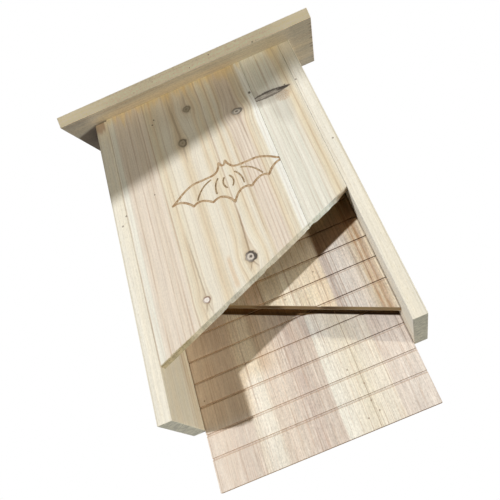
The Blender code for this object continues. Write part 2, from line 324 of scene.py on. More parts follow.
# Small dots on the roof's front edge: place and half width
ROOF_DOTS = ((8.0, 381.0, 1.0), (35.0, 386.0, 1.2), (89.0, 379.0, 1.3), (-40.0, 383.5, 0.9))

# Tints across the face veneer of the two plywood panels
PARTITION_BANDS = (
    (-117, "rose"), (-80, "honey"), (-34, "honey"), (-26, (238, 212, 184)), (-11, (230, 204, 176)),
    (-9, "honey"), (10, "honey"), (17, "straw"), (30, "sand"), (40, "honey"), (52, (230, 213, 187)),
    (59.5, (228, 211, 185)), (61, (212, 196, 184)), (67, (214, 200, 188)), (70, (243, 234, 223)),
    (84, (246, 235, 222)), (90, (240, 227, 211)), (96, (232, 217, 196)), (100, "tan"),
    (102.5, (186, 148, 112)), (105, "tan"), (107.5, (184, 148, 112)), (110, (206, 180, 150)),
    (114, "sand"), (117, "sand"),
)

BACK_BANDS = (
    (-117, (238, 224, 211)), (-100, (234, 219, 204)), (-96, (231, 215, 200)), (-82, (222, 207, 194)),
    (-67, (221, 206, 192)), (-64, (238, 227, 210)), (-57, (238, 230, 217)), (-50, (242, 236, 223)),
    (-43, (239, 231, 216)), (-39.5, (221, 206, 190)), (-31, (229, 214, 199)), (-24, (230, 216, 201)),
    (-14, (222, 207, 194)), (-4, (209, 192, 181)), (8, (215, 200, 187)), (19.5, (218, 203, 190)),
    (20.5, "chalk"), (30, (243, 238, 225)), (38, "cream"), (54, "straw"), (66, (241, 233, 217)),
    (80, (241, 232, 216)), (82, (229, 216, 204)), (96, (231, 220, 210)), (117, (234, 223, 213)),
)

# Small dots on the panels' faces
PARTITION_DOTS = ((50.0, 101.0), (12.0, 84.0))
BACK_DOTS = ((-109.7, 28.7), (58.0, -47.7), (45.0, -51.0), (43.0, 1.0), (54.0, -36.0), (54.0, -18.0))

# Painted shade above the slanted edge of the board in front: from where to where, by which tint
# near that edge and by which tint deeper in
PARTITION_PAINTED_SHADE = (-16.0, 10.0, (220, 216, 211), (220, 216, 211))
BACK_PAINTED_SHADE = (0.6, 2.0, (118, 94, 62), (172, 136, 84))

# How many of a panel's grooves, from the lowest, have a scorched lower arris
SCORCHED_GROOVES = 3


def lower_edge(node, x):
    """Height of a CAD plank's slanted lower edge at x, read from its mesh."""
    points = [v.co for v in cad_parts[node].data.vertices]
    low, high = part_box(node)
    left = min(p.z for p in points if p.x < low.x + 0.1 * MM)
    right = min(p.z for p in points if p.x > high.x - 0.1 * MM)
    return left + (x - low.x) / (high.x - low.x) * (right - left)


def grain(finish, across, through, along, seed, ring=4.2, coarse=1.0, wander=2.0, dash=110.0):
    """Softwood grain: growth lines that wander a little, streaks, fibre and speckle.

    The coordinates, the ring, the wander and the dash, which is how far a growth line runs before it
    fades, are in millimetres. Returns the strength to shade the tint by, how much of a growth line each
    place is, the relief, and the place across the grain with the wander in it.
    """
    sway = finish.noise(across * 0.012, through * 0.012, along * 0.0035 + seed, 1.0)
    place = across + (sway - 0.5) * (2 * wander)
    drift = finish.noise(place * 0.09 + seed, through * 0.05, along * 0.0015, 2.0, 0.6)
    year = (place * (1 / ring) + drift * 6.0 + seed).fract()
    broken = finish.noise(place * 0.30 + 7.0, through * 0.03, along * (1 / dash) + seed, 2.0)
    presence = broken.ramp_up(0.36, 0.62)
    late = year.ramp_up(0.60, 0.90) * year.ramp_up(1.0, 0.94) * presence
    fibre = finish.noise(place * 1.1, through * 1.1, along * 0.05 + seed, 3.0, 0.7)
    streak = finish.noise(place * 0.42, through * 0.40, along * 0.012 + seed, 3.0, 0.7)
    speckle = finish.noise(across * 0.60, through * 0.60, along * 0.34 + seed, 3.0, 0.7)
    flecks = finish.noise(place * 1.7, through * 1.7, along * 0.14 + seed, 1.0).ramp_up(0.68, 0.78)
    strength = 1 + (fibre - 0.5) * (0.30 * coarse) + (streak - 0.5) * (0.40 * coarse)
    strength = strength + (speckle - 0.5) * (0.34 * coarse) - flecks * 0.10 - year * 0.02
    relief = fibre * 0.6 - late * 0.3 + streak * 0.2 + speckle * 0.1
    return strength, late, relief, place


def end_mask(finish, axis):
    """1 on faces that are cut across the grain, which runs along the axis 0, 1 or 2."""
    return abs(finish.facing[axis]).ramp_up(0.55, 0.80)


def end_grain(finish, across, through, tint, seed, slope=0.45):
    """Sawn end grain: greener and greyer, with leaning growth lines, blotches and saw scratches."""
    lean = across + through * slope
    lines = finish.noise(lean * 0.50 + seed, lean * 0.02, 0.0, 2.0, 0.6)
    blotch = finish.noise(across * 0.17, through * 0.17, seed, 3.0, 0.65)
    scratch = finish.noise(across * 1.1, through * 0.20, seed + 3.0, 2.0)
    strength = 1.06 + (lines - 0.5) * 0.70 + (blotch - 0.5) * 1.30 + (scratch - 0.5) * 0.40
    return finish.shade(tint, strength), scratch * 0.5 + lines * 0.5


def bend_round_knots(x, z):
    """The place across the front, pushed aside so that the grain flows round the knots."""
    bent = x
    for knot in FRONT_KNOTS:
        aside = x - knot.x
        across = aside * (1 / (knot.half_x * KNOT_SPREAD[0]))
        along = (z - knot.z) * (1 / (knot.half_z * KNOT_SPREAD[1]))
        bent = bent - aside * (0 - across * across - along * along).exp() * knot.push
    return bent


def front_finish(name):
    """Planed fir of the front, laid out by the place on the face."""
    finish = Finish(name)
    x, y, z = finish.split(finish.place)
    depth = y - FRONT_FACE
    strength, late, relief, place = grain(finish, bend_round_knots(x, z), depth, z, 1.0)
    tint = finish.bands(place + depth * 0.3, FRONT_BANDS)
    flame = line(place, -22.5, 0.8, 3.4) * abs(z - 116.0).ramp_up(22.0, 14.0)
    tint = finish.stain(tint, flame * 0.5, (222, 190, 152))
    lines = late * 0.16
    broken = finish.noise(place * 0.10, 0.0, z * 0.012, 2.0).ramp_up(0.25, 0.60)
    for centre, half, share in FRONT_LINES:
        lines = lines + line(place, centre, half, 0.8) * broken * share
    tint = finish.stain(tint, lines.clamp(), "bark")
    tint = finish.shade(painted_top_light(finish, tint, x, z), strength)
    tint = spike_knot(finish, round_knots(finish, tint, x, z), x, z)
    for speck_x, speck_z, half_x, half_z in FRONT_SPECKS:
        tint = finish.stain(tint, blot(x, z, speck_x, speck_z, half_x, half_z) * 0.85, (86, 72, 60))
    ends = end_mask(finish, 2)
    tint, scratches = sawn_front_end(finish, tint, x, y, ends)
    return finish.done(tint, relief + ends * scratches, 0.12)


def painted_top_light(finish, tint, x, z):
    """The front's upper end, with painted light and shade: ragged gold under the roof, partly the wood's own
    colour and partly painted glow; a little painted shade in tan below; and a pale strip of painted light
    beside the seam.
    """
    # Ragged gold under the roof: partly the wood's own colour, partly painted glow of light from the roof's
    # underside
    uneven = finish.noise(x * 0.13, 0.0, z * 0.01, 2.0)
    golden = (z + (uneven - 0.5) * 70.0).ramp_up(372.0, 392.0)
    golden = golden * (0.55 - x.ramp_up(SEAM - 3.0, SEAM + 3.0) * 0.25)
    tint = finish.stain(tint, golden, (241, 217, 158))
    # Painted shade: darker tan towards the top, in two bands
    high = z.ramp_up(320.0, 350.0)
    tint = finish.stain(tint, high * x.between(-68.0, -60.0, -10.0, 2.0) * 0.12, (176, 138, 96))
    tint = finish.stain(tint, high * x.between(18.0, 26.0, 57.0, 61.0) * 0.16, (176, 146, 108))
    # Painted light: paler beside the seam near the roof
    pale = z.ramp_up(372.0, 384.0) * x.between(SEAM, SEAM + 1.0, 94.0, 102.0)
    return finish.stain(tint, pale * 0.5, "milk")


def round_knots(finish, tint, x, z):
    """Small round knots: the dark lines that leave them, a stained surround, a ring that is thicker on
    one side, and a heart."""
    ripple = finish.noise(x * 0.16, 0.0, z * 0.16, 2.0) - 0.5
    crumbs = finish.noise(x * 0.9, 0.0, z * 0.9, 2.0) - 0.5
    for start_x, start_z, end_x, end_z, half, share in FRONT_PLUMES:
        run = (z - start_z) * (1 / (end_z - start_z))
        aside = x - start_x - run * (end_x - start_x) + ripple * 1.2
        strong = run.ramp_up(-0.02, 0.03) * run.ramp_up(1.0, 0.45) * share
        tint = finish.stain(tint, aside.between(-5.5, 0.0, 0.0, 1.0) * strong * 0.45, "umber")
        tint = finish.stain(tint, line(aside, 0.0, half, 0.8) * strong, (140, 112, 86))
    for knot in FRONT_KNOTS:
        dx = (x - knot.x) * (1 / knot.half_x)
        dz = (z - knot.z) * (1 / knot.half_z)
        reach = (dx * dx + dz * dz).root() + ripple * 0.9 + crumbs * 0.25
        plume_x, plume_z = knot.x - 0.4 * knot.half_x, knot.z + knot.half_z
        plume = blot(x, z, plume_x, plume_z, knot.half_x, 5.0 * knot.half_z)
        tint = finish.stain(tint, plume * 0.20, "umber")
        tint = finish.stain(tint, reach.ramp_up(1.8, 0.9) * 0.40, (182, 160, 132))
        tint = finish.stain(tint, reach.ramp_up(1.05, 0.85) * knot.fill, knot.heart)
        heavy = (dx * 0.5 + dz * 0.15 + 0.95).clamp()
        tint = finish.stain(tint, reach.between(0.54, 0.76, 1.00, 1.20) * heavy * knot.rim, knot.ring)
        tint = finish.stain(tint, reach.ramp_up(0.40, 0.18) * knot.dot, (70, 58, 50))
    return tint


def spike_knot(finish, tint, x, z):
    """The long branch knot sawn lengthways on the narrow plank: a double dark rim that runs together
    at the right end, grey streaks inside and below, and a rusty stain."""
    middle_x, middle_z = SPIKE_MIDDLE
    half_x, half_z = SPIKE_HALF
    ripple = finish.noise(x * 0.25, 0.0, z * 0.25, 2.0) - 0.5
    crumbs = finish.noise(x * 0.8, 0.0, z * 0.8, 2.0) - 0.5
    plank = x.ramp_up(SEAM, SEAM + 0.4)
    along = (x - middle_x) * (1 / half_x)
    rise = z - middle_z - (x - middle_x) * 0.02 + ripple * 1.8
    swell = (1 - along * along).clamp()
    lens = rise * (1 / half_z) / (swell + 0.02)
    inside = abs(lens).ramp_up(1.14, 0.90) * abs(along).ramp_up(1.02, 0.94) * plank
    rust = blot(x, z, 97.0, 307.5, 12.0, 11.0) * crumbs.ramp_up(-0.14, 0.10)
    tint = finish.stain(tint, rust * 0.75, (196, 150, 98))
    beside_seam = blot(x, z, 67.0, 316.0, 7.0, 18.0) * plank
    tint = finish.stain(tint, beside_seam * 0.34, (142, 132, 116))
    tint = finish.stain(tint, blot(x, z, 83.0, 314.0, 33.0, 15.0) * 0.30, (156, 144, 130))
    broken = 0.6 + finish.noise(x * 0.25, 0.0, z * 0.05, 2.0) * 0.8
    below = blot(x, z, 91.0, 298.0, 16.0, 42.0) * plank * broken
    tint = finish.stain(tint, below * 0.32, (178, 172, 160))
    tint = finish.stain(tint, inside * 0.60, (182, 174, 164))
    streaks = finish.noise(x * 0.10, 0.0, rise, 2.0).ramp_up(0.40, 0.58)
    streaks = streaks * (0.55 + x.ramp_up(90.0, 106.0) * 0.4)
    tint = finish.stain(tint, inside * streaks, (112, 100, 88))
    reach = abs(along).ramp_up(1.05, 0.96) * plank
    upper = abs(lens - 0.90 + crumbs * 1.1).ramp_up(0.48, 0.20) * reach
    lower = abs(lens + 0.90 + crumbs * 0.9).ramp_up(0.42, 0.18) * reach
    tip = blot(x, z, 101.0, 317.8, 11.0, 2.6)
    tint = finish.stain(tint, lower * 0.70, (90, 80, 72))
    return finish.stain(tint, (upper * 0.85 + tip * 0.9).clamp(), (68, 60, 54))


def sawn_front_end(finish, tint, x, y, ends):
    """The front's sawn lower end, with fibres torn at right and nicked at left. Also returns the
    scratches of the saw."""
    depth = y - FRONT_FACE
    sawn, scratches = end_grain(finish, x, y * 0.4, finish.bands(x, EDGE_BANDS), 2.0)
    warm = finish.noise(x * 0.05, y * 0.9, 3.0, 2.0).ramp_up(0.54, 0.66)
    sawn = finish.stain(sawn, warm * 0.35, (204, 184, 146))
    grey = finish.noise(x * 0.04, y * 1.1, 9.0, 2.0).ramp_up(0.55, 0.70)
    sawn = finish.stain(sawn, grey * 0.35, (160, 152, 128))
    tint = finish.mix(ends, tint, sawn)
    torn = depth.ramp_up(2.5, 4.5) * x.ramp_up(101.0, 106.0)
    tint = finish.stain(tint, torn * ends * 0.8, (146, 124, 94))
    nicks = finish.noise(x * 0.45, y * 0.6, 0.0, 1.0).ramp_up(0.50, 0.60)
    nicks = nicks * x.ramp_up(-76.0, -86.0) * depth.ramp_up(7.0, 3.0)
    return finish.stain(tint, nicks * ends * 0.6, (132, 116, 66)), scratches


def side_finish(name, side, specks):
    """Planed fir of the side board at left (-1) or right (1), with grey-green ends and pale arrises."""
    finish = Finish(name)
    x, y, z = finish.split(finish.place)
    depth = y - FRONT_FACE
    strength, late, relief, place = grain(finish, x * 0.35 + y, x, z, 11.0 + side, 5.0)
    slow = finish.noise(place * 0.05, x * 0.05, z * 0.003 + side, 2.0).ramp_up(0.35, 0.65)
    tint = finish.mix(slow, colour((245, 238, 221)), colour((246, 242, 230)))
    warm = finish.noise(place * 0.12, x * 0.1, z * 0.002 + 5.0 * side, 2.0).ramp_up(0.50, 0.66)
    tint = finish.stain(tint, warm * 0.4, "straw")
    tint = finish.stain(tint, late * 0.14, "bark")
    pores = finish.noise(x * 0.45, y * 0.45, z * 0.30, 2.0).ramp_up(0.60, 0.74)
    tint = finish.stain(tint, pores * 0.30, (218, 206, 172))
    tint = finish.shade(tint, strength)
    tint = finish.stain(tint, z.ramp_up(335.0, 380.0) * 0.20, (232, 208, 156))
    tint = inner_face(finish, tint, y, z, side)
    ends = end_mask(finish, 2)
    sawn, scratches = end_grain(finish, x, y, colour((216, 216, 203)), 4.0 + side, 0.9)
    worn = abs(abs(x) - SIDE_MIDDLE).ramp_up(6.4, 7.2) + depth.ramp_up(1.2, 0.4)
    sawn = finish.stain(sawn, worn.clamp() * 0.55, (238, 234, 218))
    tint = finish.mix(ends, tint, sawn)
    if side < 0:
        tint = brown_patch_and_gap_shadow(finish, tint, x, y, z)
    arris = line(abs(x), BODY_HALF - 1.3, 0.1, 0.6) * (1 - ends) * depth.ramp_up(2.0, 0.5)
    tint = finish.stain(tint, arris * 0.30, (150, 142, 112))
    for speck_x, speck_z in specks:
        tint = finish.stain(tint, blot(x, z, speck_x, speck_z, 1.6, 1.6) * 0.7, (120, 104, 90))
    return finish.done(tint, relief + ends * scratches, 0.12)


def inner_face(finish, tint, y, z, side):
    """A side board's inner face: dull at the front; painted shade at the rear, with brown and pale streaks
    there.
    """
    inner = finish.facing[0].ramp_up(0.7 * -side, 0.9 * -side)
    rear = inner * y.ramp_up(-40.0, -22.0)
    streaks = finish.noise(y * 0.20, 0.0, z * 0.002 + side, 1.0)
    # Painted shade: the rear of the inner face darker
    tint = finish.stain(tint, rear * (0.13 + 0.05 * side), (150, 120, 84))
    tint = finish.stain(tint, rear * streaks.ramp_up(0.50, 0.60) * 0.34, (176, 138, 88))
    tint = finish.stain(tint, rear * streaks.ramp_up(0.46, 0.36) * 0.60, (255, 250, 230))
    dull = finish.noise(y * 0.02, 0.0, z * 0.012 + side, 2.0).ramp_up(0.44, 0.60)
    return finish.stain(tint, inner * dull * y.ramp_up(-24.0, -44.0) * 0.30, (222, 222, 212))


def brown_patch_and_gap_shadow(finish, tint, x, y, z):
    """The brown patch at the top of the left side board's front edge, with a dark line above it that is
    painted shadow of the gap under the roof.
    """
    ragged = z + (finish.noise(x * 0.3, y * 0.3, 2.0) - 0.5) * 14.0
    patch = x.ramp_up(-119.0, -121.0) * ragged.ramp_up(364.0, 375.0) * (y - FRONT_FACE).ramp_up(3.0, 0.5)
    tint = finish.stain(tint, patch * 0.62, (168, 128, 96))
    # Painted shadow of the gap under the roof: a dark line at the patch's top
    return finish.stain(tint, z.ramp_up(384.0, 386.5) * patch * 0.5, (74, 52, 34))


def roof_finish(name):
    """Rough-sawn beige fir, whose grain runs from side to side."""
    finish = Finish(name, 0.82)
    settings = {"rotation_type": "X_AXIS"}
    laid = finish.node("ShaderNodeVectorRotate", settings, {"Vector": finish.place, "Angle": -ROOF_SLOPE})
    x, y, z = finish.split(laid)
    level_y, height = finish.split(finish.place)[1:]
    strength, late, relief, place = grain(finish, y + z * 0.5, z, x, 21.0, 6.0, 1.3)
    front = finish.facing[1].ramp_up(-0.7, -0.85)
    other = 1 - front
    slow = finish.noise(place * 0.06, z * 0.05, x * 0.006, 2.0).ramp_up(0.35, 0.65)
    tint = finish.mix(slow, colour((238, 225, 200)), colour((224, 214, 194)))
    # The front face is paler than the other faces: partly its own colour, partly painted light for the
    # stronger light that falls on it
    tint = finish.stain(tint, front, (255, 243, 217))
    tint = finish.stain(tint, late * other * 0.24, "bark")
    fuzz = finish.noise(x * 0.42, y * 0.42, z * 0.42, 3.0, 0.75)
    pits = finish.noise(x * 0.5, y * 0.9, z * 0.9, 2.0).ramp_up(0.62, 0.72)
    pale = (abs(x).ramp_up(90.0, 150.0) * 0.16 + x.ramp_up(-50.0, -140.0) * 0.08) * front
    # Darker towards both overhangs on the faces other than the front: partly painted shade under the
    # overhangs
    outer = (abs(x).ramp_up(126.0, 142.0) * 0.20 - x.ramp_up(60.0, 0.0) * 0.05) * other
    tint = finish.shade(tint, strength + (fuzz - 0.5) * 0.46 - pits * 0.14 + pale - outer + 0.05)
    chips = finish.noise(x * 0.05, y * 0.22, 5.0, 1.0).ramp_up(0.54, 0.60) * x.ramp_up(157.0, 163.0)
    tint = finish.stain(tint, chips * other * 0.6, (128, 100, 72))
    tint = underside_painted_shade(finish, tint, x, level_y)
    for dot_x, dot_z, half in ROOF_DOTS:
        dot = blot(x, height, dot_x, dot_z, half, half) * front
        tint = finish.stain(tint, dot * 0.6, (120, 98, 70))
    ends = end_mask(finish, 0)
    sawn, scratches = end_grain(finish, y, z, colour((208, 202, 180)), 8.0, 0.6)
    tint = finish.mix(ends, tint, sawn)
    return finish.done(tint, relief + fuzz * 0.8 + ends * scratches, 0.2)


def underside_painted_shade(finish, tint, x, y):
    """Painted shade on the roof's underside left of the body: a little darker, and dark in the corner behind
    the front, where the left side board shades it.
    """
    below = finish.facing[2].ramp_up(-0.3, -0.6)
    # Painted shade: a little darker left of the body
    tint = finish.stain(tint, below * x.ramp_up(-118.0, -134.0) * 0.14, (120, 104, 84))
    # Painted shadow of the left side board in the corner behind the front, darkest farthest in
    behind = y - FRONT_FACE + (x + BODY_HALF) * 0.45
    corner = behind.ramp_up(-2.0, 4.0) * x.ramp_up(0.5 - BODY_HALF, -0.5 - BODY_HALF) * below
    tint = finish.stain(tint, corner * 0.74, (76, 54, 34))
    inmost = x.ramp_up(-160.0, -136.0) * behind.ramp_up(0.0, 30.0)
    return finish.stain(tint, corner * inmost * 0.75, (38, 26, 15))


def groove_feet(node, face_y):
    """Heights in millimetres of the lower arrises of a panel's scorched grooves, read from its mesh."""
    points = [v.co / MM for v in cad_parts[node].data.vertices]
    levels = sorted({round(p.z, 1) for p in points if face_y + 1.0 < p.y < face_y + 3.0})
    return levels[::2][:SCORCHED_GROOVES]


def veneer(finish, x, y, z, bands, seed, coarse):
    """The face veneer: bands, a soft figure, growth lines, pale and dark streaks, and pores. Returns the
    tint and the relief."""
    strength, late, relief, place = grain(finish, x, y * 0.2, z, seed, 3.1, coarse, 1.2, 26.0)
    tint = finish.bands(place, bands)
    figure = finish.noise(place * 0.30, 0.0, z * 0.06 + seed, 2.0).ramp_up(0.40, 0.62)
    tint = finish.stain(tint, figure * 0.16, (250, 246, 234))
    tint = finish.stain(tint, late * 0.34, (186, 152, 124))
    pale = finish.noise(x * 0.9, 0.0, z * 0.02 + seed, 2.0).ramp_up(0.54, 0.68)
    tint = finish.stain(tint, pale * 0.30, (253, 247, 239))
    thin = finish.noise(x * 0.50, 0.0, z * 0.006 + seed * 2.0, 2.0).ramp_up(0.60, 0.66)
    tint = finish.stain(tint, thin * 0.34, (164, 124, 94))
    pores = finish.noise(x * 1.2, 0.0, z * 0.5 + seed, 2.0).ramp_up(0.62, 0.72)
    tint = finish.stain(tint, pores * 0.22, (196, 164, 136))
    fine = finish.noise(x * 0.9, 0.0, z * 0.45 + seed, 3.0)
    calm = 1 - x.ramp_up(-62.0, -78.0) * 0.45
    return finish.shade(tint, 1 + (strength + (fine - 0.5) * 0.5 - 1) * calm), relief


def paint_chamber_shade(finish, tint, x, z, node, screen, painted_shade):
    """Paint shade on a panel inside its chamber, above the slanted lower edge of the board in front of it,
    the screen. The painted shade dims a little on the way there, and a painted shadow line runs along the
    gaps at the side boards."""
    seen = finish.facing[1].ramp_up(0.5, -0.2)
    middle, right = (lower_edge(screen, place * MM) / MM for place in (0, 50))
    above = z - x * ((right - middle) / 50) - middle
    # Painted shade: dimming towards the chamber, and more at the lower left
    dim = above.ramp_up(-60.0, 0.0) * 0.12 + x.ramp_up(-60.0, -80.0) * z.ramp_up(-20.0, 20.0) * 0.16
    tint = finish.stain(tint, dim * seen, (116, 78, 38))
    if node == "back_panel":
        # Painted shade on the back panel's left
        left = x.ramp_up(-54.0, -68.0) + x.ramp_up(-10.0, -40.0) * z.ramp_up(24.0, 44.0)
        left = left.clamp() * z.ramp_up(-10.0, 5.0)
        tint = finish.stain(tint, left * seen, (246, 238, 226), "MULTIPLY")
        # Painted shadow: a dark strip just under the partition's slanted edge, at right
        strip = above.between(4.0, 5.2, 6.2, 8.0) * x.ramp_up(24.0, 42.0)
        tint = finish.stain(tint, strip * 0.8 * seen, (110, 88, 62), "MULTIPLY")
    # Painted shade above the screen's edge
    start, full, outer_tint, inner_tint = painted_shade
    deep = (above - x.ramp_up(10.0, 40.0) * 2.9).ramp_up(start, full)
    inner = above.ramp_up(2.0, 9.0) * x.ramp_up(40.0, 10.0)
    dark = finish.mix(inner, colour(outer_tint), colour(inner_tint))
    tint = finish.mix(deep * seen, tint, dark, "MULTIPLY")
    if node == "partition_panel":
        # Painted shade in the partition's corner at right, beside the right side board
        corner = above.ramp_up(-19.0, -15.0) * x.ramp_up(59.0, 63.0)
        dark = finish.mix(above.ramp_up(-8.0, 30.0), colour((190, 160, 130)), colour((248, 230, 186)))
        tint = finish.mix(corner * seen, tint, dark, "MULTIPLY")
    # Painted shadow of the gaps between the panel and the side boards: a dark line along them
    gap = abs(x).ramp_up(114.6, 116.4) * z.ramp_up(-1.0, 1.0) * abs(finish.facing[1]).ramp_up(0.5, 0.8)
    return finish.stain(tint, gap * seen * 0.60, (96, 70, 44))


def sawn_ply(finish, tint, x, z, depth, thickness, seed):
    """What the saw laid bare in a panel: burnt grooves, the brown slanted edge and the layered sides."""
    facing_x, facing_y = (abs(part) for part in finish.facing[:2])
    inside = depth.between(0.2, 0.5, thickness - 0.7, thickness - 0.3)
    burnt = finish.mix(x.ramp_up(-60.0, 60.0), colour((190, 152, 108)), colour((136, 98, 62)))
    tint = finish.mix(facing_y.ramp_up(0.8, 0.5) * inside, tint, burnt)
    layer = finish.noise(x * 0.05, depth * 0.7 + seed, z * 0.05, 1.0).ramp_up(0.4, 0.6)
    core = finish.mix(layer, colour((78, 58, 34)), colour((112, 88, 56)))
    core = finish.stain(core, x.ramp_up(50.0, 84.0) * 0.75, (190, 164, 122))
    bright = x.between(0.0, 12.0, 38.0, 48.0) + x.ramp_up(-12.0, -28.0)
    core = finish.stain(core, bright * 0.5, (196, 166, 122))
    core = finish.stain(core, depth.ramp_up(1.9, 1.1), (186, 164, 122))
    slanted = facing_x.ramp_up(0.1, 0.3) * abs(x).ramp_up(116.5, 116.0)
    tint = finish.mix(slanted * inside, tint, core)
    layered = finish.mix(layer, colour((188, 158, 118)), colour((216, 192, 156)))
    return finish.mix(facing_x.ramp_up(0.8, 0.95) * inside, tint, layered)


def panel_finish(name, node, bands, seed, coarse, dots, screen, painted_shade):
    """Plywood: rose and cream face veneer, painted shade inside its chamber, burnt grooves and a brown
    layered edge.
    """
    finish = Finish(name)
    x, y, z = finish.split(finish.place)
    tint, relief = veneer(finish, x, y, z, bands, seed, coarse)
    for dot_x, dot_z in dots:
        tint = finish.stain(tint, blot(x, z, dot_x, dot_z, 1.2, 1.2) * 0.6, (126, 96, 70))
    tint = paint_chamber_shade(finish, tint, x, z, node, screen, painted_shade)
    face_y, rear_y = (corner.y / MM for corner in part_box(node))
    depth = y - face_y
    face = abs(finish.facing[1]).ramp_up(0.5, 0.8)
    if node == "partition_panel":
        crack = line(x + z * 0.045, -6.0, 0.3, 0.7) * z.ramp_up(80.0, 90.0)
        tint = finish.stain(tint, crack * face * 0.5, (120, 84, 54))
    if node == "back_panel":
        join = line(x, 54.0, 0.15, 0.45)
        tint = finish.stain(tint, join * face * 0.5, (150, 116, 84))
    for foot in groove_feet(node, face_y):
        scorch = line(z, foot - 0.3, 0.2, 0.5) * face * depth.ramp_up(0.5, 0.2)
        tint = finish.stain(tint, scorch * 0.45, (180, 138, 90))
    tint = sawn_ply(finish, tint, x, z, depth, rear_y - face_y, seed)
    return finish.done(tint, relief, 0.10)


def routed_finish(name, dark, light):
    """The scorched bottom of the routed bat."""
    finish = Finish(name, 0.8)
    x, y, z = finish.split(finish.place)
    burn = finish.noise(x * 0.30, y * 0.35, z * 0.30, 2.0).ramp_up(0.35, 0.65)
    fibre = finish.noise(x * 1.2, y * 1.8, z * 0.12, 2.0)
    tint = finish.mix(burn, colour(dark), colour(light))
    return finish.done(finish.shade(tint, 1 + (fibre - 0.5) * 0.5), fibre, 0.2)


def zinc_finish(name):
    """Zinc-plated wire."""
    finish = Finish(name, 0.35, 0.5)
    finish.feed(finish.shader, "Metallic", 1.0)
    x, y, z = finish.split(finish.place)
    bloom = finish.noise(x * 1.5, y * 1.5, z * 1.5, 3.0)
    drawn = finish.noise(x * 0.4, y * 6.0, z * 6.0, 2.0)
    tint = finish.mix(bloom, colour((150, 152, 156)), colour((184, 186, 188)))
    return finish.done(tint, drawn, 0.02, 0.25 + bloom * 0.25)


def put(name, data):
    """Put a new object into the scene."""
    obj = bpy.data.objects.new(name, data)
    bpy.context.scene.collection.objects.link(obj)
    return obj


def finished_mesh(name, bm, finishes):
    """Turn a bmesh into a mesh with its faces outwards and with its finishes."""
    bmesh.ops.recalc_face_normals(bm, faces=bm.faces)
    mesh = bpy.data.meshes.new(name)
    bm.to_mesh(mesh)
    bm.free()
    for finish in finishes:
        mesh.materials.append(finish)
    return mesh


def add_piece(name, bm, finishes, node):
    """Make a mesh object that stands for a CAD node."""
    piece = put(name, finished_mesh(name, bm, finishes))
    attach(piece, BODY)
    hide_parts(node)
    return piece


# The front's sawn lower edge: its least arris, the width of a step along it, and how high the torn
# fibres run up for their depth. Then, from left to right, how deep the fibres are torn out at the rear
# and how deep the arris in front is nicked
ARRIS = 0.35 * MM
LINE_STEP = 0.8 * MM
TEAR_RISE = 0.7
TEAR_OUT = (
    (-117.0, 0.4), (-90.0, 0.35), (-46.0, 0.3), (-42.0, 4.0), (-37.0, 3.6), (-33.0, 0.3), (4.0, 0.3),
    (8.0, 3.0), (13.0, 2.6), (17.0, 0.3), (55.0, 0.5), (62.0, 1.6), (66.0, 2.4), (70.0, 4.4), (75.0, 2.4),
    (84.0, 1.2), (90.0, 0.5), (98.0, 1.2), (106.0, 2.4), (117.0, 2.8),
)
FRONT_NICKS = ((-117.0, 1.3), (-84.0, 1.1), (-76.0, 0.3), (95.0, 0.3), (117.0, 0.8))


def wear_along(points, xs, seed):
    """Ragged depths along the edge, in metres: the (millimetres, depth) points say how deep they may be."""
    draw = np.random.default_rng(seed)
    limit = np.interp(xs / MM, [p[0] for p in points], [p[1] for p in points])
    coarse = draw.random(len(xs) // 4 + 3)
    slow = np.interp(np.arange(len(xs)) / 4, np.arange(len(coarse)), coarse)
    fine = draw.random(len(xs))
    return limit * np.clip(0.15 + 0.9 * slow ** 2 + 0.45 * fine * slow, 0, 1.3) * MM


def plank(name, node, finishes):
    """A front plank, with the arris and the tear-out that the saw left along its slanted end."""
    low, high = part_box(node)
    xs = np.linspace(low.x, high.x, int((high.x - low.x) / LINE_STEP))
    tear = wear_along(TEAR_OUT, xs, 5)
    nick = wear_along(FRONT_NICKS, xs, 6) * 0.5 + ARRIS
    bm = bmesh.new()
    rows = []
    for i, x in enumerate(xs):
        edge = lower_edge(node, x)
        section = [
            (low.y, edge + nick[i]),
            (low.y + min(nick[i], 3 * ARRIS), edge),
            (high.y - tear[i], edge),
            (high.y, edge + TEAR_RISE * tear[i] + 0.1 * MM),
        ]
        rows.append([bm.verts.new((x, y, z)) for y, z in section])
    front_top = high.z - (high.y - low.y) * math.tan(ROOF_SLOPE)
    tops = []
    for x in (low.x, high.x):
        tops.append((bm.verts.new((x, low.y, front_top)), bm.verts.new((x, high.y, high.z))))
    for near, far in zip(rows, rows[1:]):
        for i in range(3):
            bm.faces.new((near[i], near[i + 1], far[i + 1], far[i]))
    bm.faces.new([row[0] for row in rows] + [tops[1][0], tops[0][0]])
    bm.faces.new([row[3] for row in rows] + [tops[1][1], tops[0][1]])
    bm.faces.new((tops[0][0], tops[0][1], tops[1][1], tops[1][0]))
    for row, top in ((rows[0], tops[0]), (rows[-1], tops[1])):
        bm.faces.new(row + [top[1], top[0]])
    return add_piece(name, bm, finishes, node)


